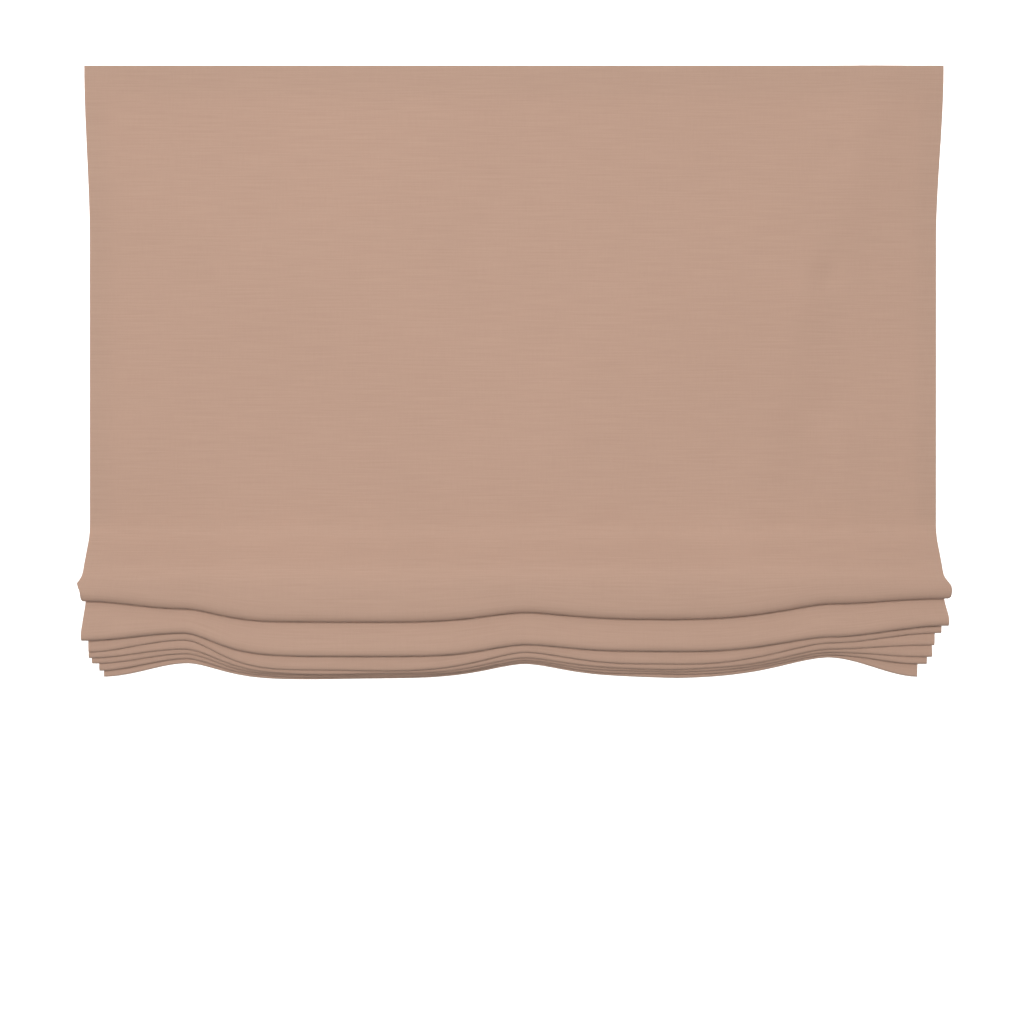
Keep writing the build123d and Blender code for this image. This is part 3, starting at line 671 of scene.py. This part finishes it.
def creased(x, z):
    """How far the creases bring the cloth forwards at a place. The rings hold it back."""
    total = 0.0
    place = Vector((x, z))
    for start, end, width, height in CREASES:
        along = Vector(end) - Vector(start)
        share = min(1.0, max(0.0, (place - Vector(start)).dot(along) / along.length_squared))
        away = (place - Vector(start) - along * share).length
        total += height * math.exp(-((away / width) ** 2))
    slow = (1 + noise.noise(Vector((x * 2.6, z * 1.7, 4.2)))) * SLOW_SWELL * MM
    held = min((Vector((ring_x, ring_z)) - place).length
               for ring_x in CORD_X for ring_z in ROW_Z[:HANGING_ROWS])
    free = 1 - math.exp(-((held / RING_HOLD) ** 2))
    return (total + slow * smooth_share((CLOTH_TOP - z) / SWELL_START)) * free


def side_hems(name, section, lines, drape, span, material, crease=None):
    """The turned side hems on the cloth's back, over a span of the section."""
    inside = [point for point in section if span[0] < point[2] < span[1]]
    strips = []
    for side, sign in (("left", -1), ("right", 1)):
        columns = sorted(sign * (HALF_WIDTH - HEM_EDGE - SIDE_HEM * i / HEM_COLUMNS)
                         for i in range(HEM_COLUMNS + 1))
        strips.append(cloth_piece(f"{name}_{side}", inside, lines, drape, columns, material, crease,
                                  behind=HEM_BEHIND * drape.cloth.thickness))
    return strips


def column_places(spacing):
    """Places across the width: even, and closer together beside the two side edges."""
    edge, close = 12 * MM, 6  # width of each close stretch, and how many places it has
    inner = HALF_WIDTH - edge
    count = round(2 * inner / spacing)
    even = [-inner + 2 * inner * i / count for i in range(count + 1)]
    side = [inner + edge * math.sin(math.pi / 2 * i / close) for i in range(1, close + 1)]
    return [-x for x in reversed(side)] + even + side


def cloth_piece(name, section, lines, drape, columns, material, crease=None, behind=0.0):
    """A grid of cloth laid along a section, with its UV map in metres of cloth.

    behind is how far it lies behind the section, as a turned hem does.
    """
    built = bmesh.new()
    bmesh.ops.create_grid(built, x_segments=len(columns) - 1, y_segments=len(section) - 1, size=0.5)
    placed = [drape.place(section, lines, x) for x in columns]
    uv = built.loops.layers.uv.new("cloth")
    grid = {}
    for vert in built.verts:
        column = round((vert.co.x + 0.5) * (len(columns) - 1))
        row = round((vert.co.y + 0.5) * (len(section) - 1))
        grid[vert] = (columns[column], section[row][2])
        x, y, z = placed[column][row]
        vert.co = (x, y + behind - (crease(x, z, section[row][2]) if crease else 0.0), z)
    for face in built.faces:
        for loop in face.loops:
            loop[uv].uv = grid[loop.vert]
    bmesh.ops.recalc_face_normals(built, faces=built.faces[:])
    piece = new_piece(name, built, material)
    return thickened(piece, drape.cloth.thickness)


# ------------------------------------------------------------------ operators

class ROMANBLIND_OT_panel(bpy.types.Operator):
    """Hangs the flat cloth, with the half-formed front fold."""

    bl_idname = "roman_blind.panel"
    bl_label = "Hang the flat cloth"

    def execute(self, context):
        cloth = context.scene.roman_blind_cloth
        drape = Drape(cloth)
        material = finish_of("cloth", woven_cloth, cloth)
        route = drape.panel_route()
        flat = ROW_PITCH * HANGING_ROWS + (CLOTH_TOP - ROW_Z[0])
        fade = flat - CREASE_END

        def crease(x, z, s):
            return creased(x, z) * (1 - smooth_share((s - fade + CREASE_FADE) / CREASE_FADE))

        section, lines = rounded(route, 9 * MM)
        columns = column_places(6.2 * MM)
        piece = cloth_piece("cloth_panel", section, lines, drape, columns, material, crease)
        hemmed = (LOOP_TAPE_FOOT, CLOTH_TOP - ROW_Z[HANGING_ROWS - 1])
        hems = side_hems("panel_hem", section, lines, drape, hemmed, material, crease)
        for cloth_part in (piece, *hems):
            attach(cloth_part, "root")
            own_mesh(cloth_part)
        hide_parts("fabric_panel")
        return {"FINISHED"}


class ROMANBLIND_OT_folds(bpy.types.Operator):
    """Lays the full folds, down to the hem."""

    bl_idname = "roman_blind.folds"
    bl_label = "Lay the folds"

    def execute(self, context):
        cloth = context.scene.roman_blind_cloth
        drape = Drape(cloth)
        material = finish_of("cloth", woven_cloth, cloth)
        section, lines = rounded(drape.folds_route(), 13 * MM)
        piece = cloth_piece("cloth_folds", section, lines, drape, column_places(8.4 * MM), material)
        last_row = next(s for s, line in lines if line == f"row{ROW_COUNT}")
        hem_top = next(s for s, line in lines if line == "hem") - Drape.HEM_RETURN
        hems = side_hems("fold_hem", section, lines, drape, (last_row, hem_top), material)
        for cloth_part in (piece, *hems):
            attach(cloth_part, "lift")
        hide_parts("fabric_folds")
        return {"FINISHED"}


TUBE_SIDES = 12


def tube(points, radii, facing=None):
    """A closed tube: a disc turned to face its way, extruded from point to point, with an empty UV map."""
    built = bmesh.new()
    turn = facing or Matrix.Identity(4)
    ring = bmesh.ops.create_circle(
        built, cap_ends=True, segments=TUBE_SIDES, radius=1.0, matrix=turn)["verts"]
    for vert in ring:
        vert.co = vert.co * radii[0] + points[0]
    built.loops.layers.uv.new("round")
    edges = built.edges[:]
    for before, point, old, new in zip(points, points[1:], radii, radii[1:]):
        made = bmesh.ops.extrude_edge_only(built, edges=edges)["geom"]
        fresh = [item for item in made if isinstance(item, bmesh.types.BMVert)]
        edges = [item for item in made if isinstance(item, bmesh.types.BMEdge)
                 and all(vert in fresh for vert in item.verts)]
        for vert in fresh:
            vert.co = (vert.co - before) * (new / old) + point
    bmesh.ops.contextual_create(built, geom=edges)
    bmesh.ops.recalc_face_normals(built, faces=built.faces[:])
    return built


def wrap_uv(built, along_axis, centre, radius):
    """Writes a tube's UV map: metres round it, and metres along the axis it runs on."""
    uv = built.loops.layers.uv.active
    others = [axis for axis in range(3) if axis != along_axis]
    for face in built.faces:
        for loop in face.loops:
            place = loop.vert.co - centre
            angle = math.atan2(place[others[1]], place[others[0]])
            loop[uv].uv = (angle * radius, loop.vert.co[along_axis])


def cord_finish(fittings):
    """The lift cords' material, which the turns on the drums share."""
    # C9C4B8 is the painted shade in the hollows between the cord's strands
    return finish_of("cord", braided, "braided_polyester_cord", fittings.cord_colour, "C9C4B8", 0.9 * MM)


class ROMANBLIND_OT_cords(bpy.types.Operator):
    """Runs the lift cords from their drums to the knots under their stops."""

    bl_idname = "roman_blind.cords"
    bl_label = "Run the lift cords"

    def execute(self, context):
        fittings = context.scene.roman_blind_fittings
        material = cord_finish(fittings)
        radius = fittings.cord_radius
        for place, x in zip(PLACES, CORD_X):
            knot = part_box(f"lift_cord_{place}")[0].z + KNOT_RADIUS
            centre = Vector((x, CORD_Y, 0))
            steps = 120
            heights = [AXIS.z + (knot - AXIS.z) * i / steps for i in range(steps + 1)]
            points = [centre + Vector((0, 0, z)) for z in heights]
            radii = [radius * (0.96 + 0.04 * math.cos(i * 2.1)) for i in range(steps + 1)]
            knot_steps = 8
            for i in range(1, knot_steps + 1):  # the overhand knot, and the cut end below it
                share = i / knot_steps
                points.append(centre + Vector((0, 0, knot - KNOT_LENGTH * share)))
                radii.append(radius + (KNOT_BULGE - radius) * math.sin(math.pi * share) ** 0.7)
            points.append(centre + Vector((0, 0, knot - CORD_TAIL)))
            radii.append(radius * 1.1)
            built = tube(points, radii)
            wrap_uv(built, 2, centre, radius)
            piece = new_piece(f"braided_lift_cord_{place}", built, material)
            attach(piece, "root")
            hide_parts(f"lift_cord_{place}")
            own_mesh(piece)
        return {"FINISHED"}


class ROMANBLIND_OT_windings(bpy.types.Operator):
    """Winds the drawn-up cord on the drums, turn beside turn."""

    bl_idname = "roman_blind.windings"
    bl_label = "Wind the drums"

    def execute(self, context):
        fittings = context.scene.roman_blind_fittings
        material = cord_finish(fittings)
        radius = fittings.cord_radius
        steps_a_turn, sides = 28, 8
        pitch = 2.03 * radius
        for place, x in zip(PLACES, CORD_X):
            low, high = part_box(f"cord_winding_{place}")
            wind_radius = (high.y - low.y) / 2 - radius
            axis = Vector((x, (low.y + high.y) / 2, (low.z + high.z) / 2))
            built = bmesh.new()
            uv = built.loops.layers.uv.new("round")
            turns = fittings.wound_turns
            start = axis + Vector((0, -wind_radius, 0))
            upright = Matrix.Translation(start)
            ring = bmesh.ops.create_circle(built, segments=sides, radius=radius, matrix=upright)["verts"]
            edges = list({edge for vert in ring for edge in vert.link_edges})
            bmesh.ops.spin(built, geom=edges, cent=axis, axis=(1, 0, 0), steps=turns * steps_a_turn,
                           dvec=(-pitch / steps_a_turn, 0, 0), angle=-turns * math.tau)
            bmesh.ops.holes_fill(built, edges=[edge for edge in built.edges if edge.is_boundary], sides=0)
            bmesh.ops.recalc_face_normals(built, faces=built.faces[:])
            for face in built.faces:
                for loop in face.loops:
                    at = loop.vert.co - axis
                    loop[uv].uv = (at.x, math.atan2(at.z, at.y) * wind_radius)
            piece = new_piece(f"cord_turns_{place}", built, material)
            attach(piece, "drive")
            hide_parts(f"cord_winding_{place}")
        return {"FINISHED"}


class ROMANBLIND_OT_weight(bpy.types.Operator):
    """Lays the weighted cord in the hem's pocket, where it follows the hem."""

    bl_idname = "roman_blind.weight"
    bl_label = "Lay the hem weight"

    def execute(self, context):
        cloth = context.scene.roman_blind_cloth
        radius = context.scene.roman_blind_fittings.weight_radius
        drape = Drape(cloth)
        low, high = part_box("bottom_weight")
        # 8F8F8C is the painted shade in the hollows between the sleeve's strands
        material = finish_of("weight", braided, "braided_weight_sleeve", "DAD8D2", "8F8F8C", 1.6 * MM)
        steps = 300
        lift = drape.HEM_TURN
        points, radii = [], []
        for i in range(steps + 1):
            x = low.x + (high.x - low.x) * i / steps
            side = 0 if x < 0 else 1
            beyond = max(0.0, abs(x) - abs(CORD_X[2 * side]))
            flap = HALF_WIDTH - abs(CORD_X[2 * side])
            drawn_in = (HALF_WIDTH - drape.reach("hem", side)) * beyond / flap
            placed = x - math.copysign(drawn_in, x)
            points.append(Vector((placed, drape.mid + lift, drape.height("hem", x) + lift)))
            radii.append(radius * (0.94 + 0.06 * math.cos(i * math.pi)))
        facing = Matrix.Rotation(math.radians(90), 4, "Y")
        built = tube(points, radii, facing)
        wrap_uv(built, 0, Vector((0, drape.mid + lift, middle("bottom_weight").z)), radius)
        piece = new_piece("hem_weight_cord", built, material)
        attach(piece, "lift")
        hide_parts("bottom_weight")
        return {"FINISHED"}


RING_BODIES = {1: "root", 2: "row_2", 3: "row_3", 4: "row_4"}


class ROMANBLIND_OT_tacks(bpy.types.Operator):
    """Sews each ring to the cloth with three turns of thread."""

    bl_idname = "roman_blind.tacks"
    bl_label = "Sew the rings on"

    def execute(self, context):
        cloth = context.scene.roman_blind_cloth
        material = finish_of("thread", sewing_thread, cloth)
        groups = {}
        for row in range(1, ROW_COUNT + 1):
            groups.setdefault(RING_BODIES.get(row, "lift"), []).append(row)
        for body, rows in groups.items():
            built = bmesh.new()
            for row in rows:
                low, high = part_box(f"ring_row_{row}")
                wire = (high.z - low.z) / 2
                for x in CORD_X:
                    for offset in (-0.55, 0, 0.55):
                        centre = Vector((x + offset * MM, low.y + wire, ROW_Z[row - 1]))
                        thread_loop(built, centre, wire + 0.12 * MM, 0.17 * MM)
            bmesh.ops.recalc_face_normals(built, faces=built.faces[:])
            piece = new_piece(f"ring_tacks_{body}", built, material)
            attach(piece, body)
        return {"FINISHED"}


def thread_loop(built, centre, radius, thread):
    """One turn of thread round a wire that runs along X at centre."""
    start = Matrix.Translation(centre + Vector((0, radius, 0)))
    ring = bmesh.ops.create_circle(built, segments=4, radius=thread, matrix=start)["verts"]
    edges = list({edge for vert in ring for edge in vert.link_edges})
    bmesh.ops.spin(built, geom=edges, cent=centre, axis=(1, 0, 0), steps=10, angle=math.tau, use_merge=True)


NODE_FINISHES = {
    "headrail": "powder", "end_cap": "white", "control_housing": "white", "control_cover": "white",
    "chain_wheel": "grey", "clutch_hub": "grey", "shaft_bush": "grey", "cord_drum": "grey",
    "drum_cradle": "white", "cord_stop": "white", "drive_shaft": "drawn", "control_screws": "zinc",
    "bracket": "zinc", "lever_rivet": "zinc", "brake_spring": "spring", "ring_row": "ring",
    "hook_tape": "tape", "loop_tape": "tape",
}


class ROMANBLIND_OT_fittings(bpy.types.Operator):
    """Gives every fitting of the frame its finish."""

    bl_idname = "roman_blind.fittings"
    bl_label = "Finish the fittings"

    def execute(self, context):
        fittings = context.scene.roman_blind_fittings
        for node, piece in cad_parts.items():
            start = next((start for start in NODE_FINISHES if node.startswith(start)), None)
            if start is None:
                continue
            name = NODE_FINISHES[start]
            material = finish_of(name, fitting_finish, name, fittings)
            piece.data.materials.clear()
            piece.data.materials.append(material)
        return {"FINISHED"}


BLIND_MIDDLE = Vector((0, -0.04, -0.41))
WASH_WAY = Vector((0, 1, -0.15))  # the wash light faces the backdrop, and the others the blind's middle
LIGHTS = {  # each light's place, and the length of its sides
    "key": (Vector((-0.45, -3.5, 0.15)), 1.4), "fill": (Vector((2.4, -2.6, -0.2)), 2.2),
    "wash": (Vector((0, 0.5, 2.0)), 2.4), "back": (Vector((0.5, 3.4, 0.3)), 1.8),
}
COVE_SWEEP = 1.6  # radius of the curve between the floor and the wall
COVE_WALL = 6.0  # height of the wall


class ROMANBLIND_OT_stage(bpy.types.Operator):
    """Sets up the pale floor and its cove, the soft lights and the camera."""

    bl_idname = "roman_blind.stage"
    bl_label = "Set the stage"

    def execute(self, context):
        stage = context.scene.roman_blind_stage
        cove = new_piece("studio_cove", cove_shape(stage), finish_of("paper", stage_paper, stage))
        cove.visible_diffuse = False  # the blind gets its even light from the air, not off the floor
        context.scene.world = studio_air(stage)
        context.scene.view_settings.view_transform = "Standard"
        for name, (place, size) in LIGHTS.items():
            target = place + WASH_WAY if name == "wash" else BLIND_MIDDLE
            soft_light(f"{name}_light", place, target, size, getattr(stage, f"{name}_power"))
        camera = bpy.data.objects.new("camera", bpy.data.cameras.new("camera"))
        camera.data.lens = stage.lens
        camera.location = stage.camera_place
        camera.rotation_euler = (math.radians(90), 0, 0)
        context.scene.collection.objects.link(camera)
        context.scene.camera = camera
        return {"FINISHED"}


def studio_air(stage):
    """A world of soft white light, stronger from above than from below."""
    world = bpy.data.worlds.new("studio_air")
    world.use_nodes = True
    world.node_tree.nodes.clear()
    direction = add(world, "ShaderNodeTexCoord")
    axes = add(world, "ShaderNodeSeparateXYZ", {"Vector": direction.outputs["Generated"]})
    strength = add(world, "ShaderNodeMapRange", {
        "Value": axes.outputs["Z"], "From Min": -0.7, "From Max": 0.7,
        "To Min": stage.air[0], "To Max": stage.air[1]})
    light = add(world, "ShaderNodeBackground", {
        "Color": linear("FFFFFF"), "Strength": strength.outputs["Result"]})
    add(world, "ShaderNodeOutputWorld", {"Surface": light.outputs["Background"]})
    return world


def cove_shape(stage):
    """A round floor that sweeps up into a wall all the way round, so that no edge shows."""
    built = bmesh.new()
    outline = [Vector((0, 0, 0)), Vector((stage.cove_radius, 0, 0))]
    for i in range(1, 13):
        angle = math.pi / 2 * i / 12
        out, up = COVE_SWEEP * math.sin(angle), COVE_SWEEP * (1 - math.cos(angle))
        outline.append(Vector((stage.cove_radius + out, 0, up)))
    outline.append(Vector((stage.cove_radius + COVE_SWEEP, 0, COVE_WALL)))
    verts = [built.verts.new(place - Vector((0, 0, stage.floor_drop))) for place in outline]
    edges = [built.edges.new(pair) for pair in zip(verts, verts[1:])]
    bmesh.ops.spin(built, geom=edges, cent=(0, 0, 0), axis=(0, 0, 1), steps=64, angle=math.tau,
                   use_merge=True)
    bmesh.ops.remove_doubles(built, verts=built.verts[:], dist=1e-5)
    bmesh.ops.recalc_face_normals(built, faces=built.faces[:])
    bmesh.ops.reverse_faces(built, faces=built.faces[:])
    return built


def soft_light(name, place, target, size, power):
    """A square soft box that faces the target."""
    light = bpy.data.lights.new(name, "AREA")
    light.size = size
    light.energy = power
    holder = bpy.data.objects.new(name, light)
    holder.location = place
    holder.rotation_euler = (target - place).to_track_quat("-Z", "Y").to_euler()
    holder.visible_camera = False
    bpy.context.scene.collection.objects.link(holder)


class ROMANBLIND_PT_sidebar(bpy.types.Panel):
    """Lists the blind's pieces in the order in which they are made."""

    bl_label = "Roman Blind"
    bl_idname = "ROMANBLIND_PT_sidebar"
    bl_space_type = "VIEW_3D"
    bl_region_type = "UI"
    bl_category = "Roman Blind"

    def draw(self, context):
        for step in STEPS:
            self.layout.operator(step.bl_idname)


GROUPS = {"roman_blind_cloth": RomanBlindCloth, "roman_blind_fittings": RomanBlindFittings,
          "roman_blind_stage": RomanBlindStage}
STEPS = [ROMANBLIND_OT_stage, ROMANBLIND_OT_panel, ROMANBLIND_OT_folds, ROMANBLIND_OT_weight,
         ROMANBLIND_OT_cords, ROMANBLIND_OT_windings, ROMANBLIND_OT_tacks, ROMANBLIND_OT_fittings]


def register():
    for group in (*GROUPS.values(), *STEPS, ROMANBLIND_PT_sidebar):
        bpy.utils.register_class(group)
    for name, group in GROUPS.items():
        setattr(bpy.types.Scene, name, PointerProperty(type=group))


def unregister():
    for name in GROUPS:
        delattr(bpy.types.Scene, name)
    for group in (ROMANBLIND_PT_sidebar, *reversed(STEPS), *reversed(GROUPS.values())):
        bpy.utils.unregister_class(group)


def main():
    """Builds every piece in order."""
    register()
    for step in STEPS:
        group, name = step.bl_idname.split(".")
        getattr(getattr(bpy.ops, group), name)()


if __name__ == "__main__":
    main()
